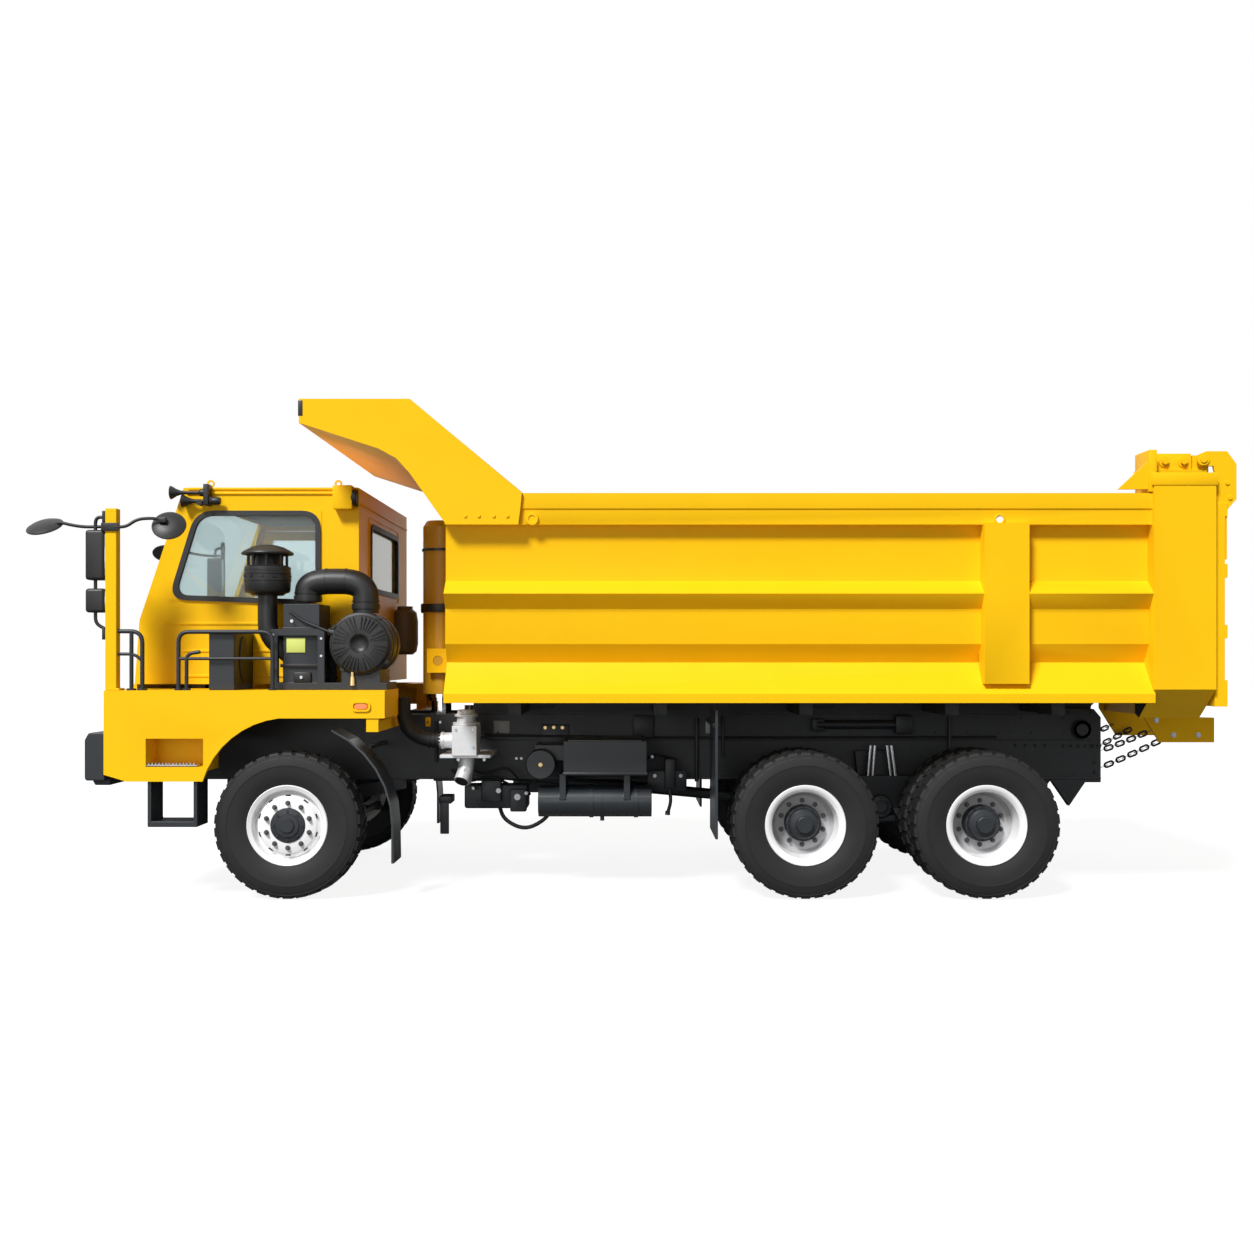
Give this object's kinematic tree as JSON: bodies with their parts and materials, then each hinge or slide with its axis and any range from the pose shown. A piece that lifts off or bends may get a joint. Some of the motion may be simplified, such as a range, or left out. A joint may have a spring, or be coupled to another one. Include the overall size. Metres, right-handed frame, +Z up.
{
  "type": "mining dump truck",
  "caption": "Wide-body mining dump truck with an offset cab, a ribbed tipping bed with a canopy over the cab, a front hoist and a top-hung tailgate.",
  "frame": {"origin": "on the ground under the middle of the truck's box", "axes": "+X towards the tail, +Y towards the truck's right side, +Z up"},
  "size_m": [9.2277, 3, 3.712],
  "materials": {
    "yellow": "gloss",
    "charcoal": "satin",
    "plastic": "matte",
    "rubber": "matte",
    "rim": "satin",
    "glass": "gloss",
    "steel": "gloss",
    "grey": "satin",
    "seat": "matte"
  },
  "bodies": {
    "chassis": {"air_cleaner": "plastic", "air_tank": "charcoal", "battery_box": "charcoal", "bogie_springs": "charcoal", "cab_shell": "yellow", "chassis_frame": "charcoal", "dashboard": "plastic", "driver_seat": "seat", "exhaust_box": "grey", "exhaust_hose": "rubber", "filter_rack": "charcoal", "front_axle": "charcoal", "front_bumper": "charcoal", "front_handrail": "charcoal", "front_panel": "yellow", "fuel_tank": "charcoal", "hydraulic_tank": "charcoal", "intake_pipe": "plastic", "left_cab_window": "glass", "left_chain": "steel", "left_fender": "yellow", "left_mirror_post": "yellow", "left_mirrors": "plastic", "left_mudflap": "rubber", "left_mudguard": "plastic", "left_step": "charcoal", "mid_axle": "charcoal", "oil_cooler": "charcoal", "powertrain": "charcoal", "precleaner": "plastic", "rear_axle": "charcoal", "rear_cab_window": "glass", "rear_handrail": "charcoal", "right_chain": "steel", "right_fender": "yellow", "right_mirrors": "plastic", "right_mudflap": "rubber", "right_mudguard": "plastic", "right_step": "charcoal", "windscreen": "glass"},
    "left_steer": {"left_knuckle": "charcoal"},
    "right_steer": {"right_knuckle": "charcoal"},
    "tie": {"tie_rod": "charcoal"},
    "front_left": {"front_left_tyre": "rubber", "front_left_rim": "rim"},
    "front_right": {"front_right_tyre": "rubber", "front_right_rim": "rim"},
    "mid_left": {"mid_left_wheels": "rubber"},
    "mid_right": {"mid_right_wheels": "rubber"},
    "rear_left": {"rear_left_wheels": "rubber"},
    "rear_right": {"rear_right_wheels": "rubber"},
    "door": {"cab_door": "yellow", "cab_door_window": "glass"},
    "bed": {"bed": "yellow", "canopy": "yellow"},
    "tailgate": {"tailgate": "yellow"},
    "hoist": {"hoist_barrel": "yellow"},
    "stage_1": {"hoist_tube_1": "steel"},
    "stage_2": {"hoist_tube_2": "steel"},
    "stage_3": {"hoist_rod": "steel"}
  },
  "joints": [
    {"name": "steering", "type": "hinge", "parent": "chassis", "child": "left_steer", "pos_m": [-2.6661, -1, 0.5556], "axis": [0, 0, 1], "range_deg": [-35, 35]},
    {"name": "right_steering", "type": "hinge", "parent": "chassis", "child": "right_steer", "pos_m": [-2.6661, 1, 0.5556], "axis": [0, 0, 1], "range_deg": [-35.1, 35.1]},
    {"name": "tie_rod_shift", "type": "slide", "parent": "chassis", "child": "tie", "axis": [0, 1, 0], "range_m": [-0.144, 0.144]},
    {"name": "front_left_roll", "type": "hinge", "parent": "left_steer", "child": "front_left", "pos_m": [-2.6661, -1.245, 0.55558], "axis": [0, 1, 0], "continuous": true},
    {"name": "front_right_roll", "type": "hinge", "parent": "right_steer", "child": "front_right", "pos_m": [-2.6661, 1.245, 0.55558], "axis": [0, 1, 0], "continuous": true},
    {"name": "mid_left_roll", "type": "hinge", "parent": "chassis", "child": "mid_left", "pos_m": [1.1939, -1.245, 0.55558], "axis": [0, 1, 0], "continuous": true},
    {"name": "mid_right_roll", "type": "hinge", "parent": "chassis", "child": "mid_right", "pos_m": [1.1939, 1.245, 0.55558], "axis": [0, 1, 0], "continuous": true},
    {"name": "rear_left_roll", "type": "hinge", "parent": "chassis", "child": "rear_left", "pos_m": [2.5439, -1.245, 0.55558], "axis": [0, 1, 0], "continuous": true},
    {"name": "rear_right_roll", "type": "hinge", "parent": "chassis", "child": "rear_right", "pos_m": [2.5439, 1.245, 0.55558], "axis": [0, 1, 0], "continuous": true},
    {"name": "door_swing", "type": "hinge", "parent": "chassis", "child": "door", "pos_m": [-3.7961, 1.418, 1.7], "axis": [0, 0, 1], "range_deg": [0, 70]},
    {"name": "bed_tilt", "type": "hinge", "parent": "chassis", "child": "bed", "pos_m": [3.5599, 0, 1.221], "axis": [0, 1, 0], "range_deg": [0, 45], "deforming": ["left_chain", "right_chain"]},
    {"name": "tailgate_swing", "type": "hinge", "parent": "bed", "child": "tailgate", "pos_m": [4.1239, 0, 3.274], "axis": [0, -1, 0], "range_deg": [0, 70]},
    {"name": "hoist_swing", "type": "hinge", "parent": "bed", "child": "hoist", "pos_m": [-1.7081, 0, 1.78], "axis": [0, 1, 0], "range_deg": [-19.75, 0.1]},
    {"name": "hoist_extend_1", "type": "slide", "parent": "hoist", "child": "stage_1", "axis": [0, 0, -1], "range_m": [-0.001, 1.3344]},
    {"name": "hoist_extend_2", "type": "slide", "parent": "stage_1", "child": "stage_2", "axis": [0, 0, -1], "range_m": [-0.001, 1.3344]},
    {"name": "hoist_extend_3", "type": "slide", "parent": "stage_2", "child": "stage_3", "axis": [0, 0, -1], "range_m": [-0.001, 1.3344]}
  ],
  "couplings": [
    {"joint": "right_steering", "follows": "steering", "ratio": 1},
    {"joint": "tie_rod_shift", "follows": "steering", "m_per_rad": 0.23474},
    {"joint": "hoist_swing", "follows": "bed_tilt", "ratio": -0.43669},
    {"joint": "hoist_extend_1", "follows": "bed_tilt", "m_per_rad": 1.6965},
    {"joint": "hoist_extend_2", "follows": "bed_tilt", "m_per_rad": 1.6965},
    {"joint": "hoist_extend_3", "follows": "bed_tilt", "m_per_rad": 1.6965}
  ]
}
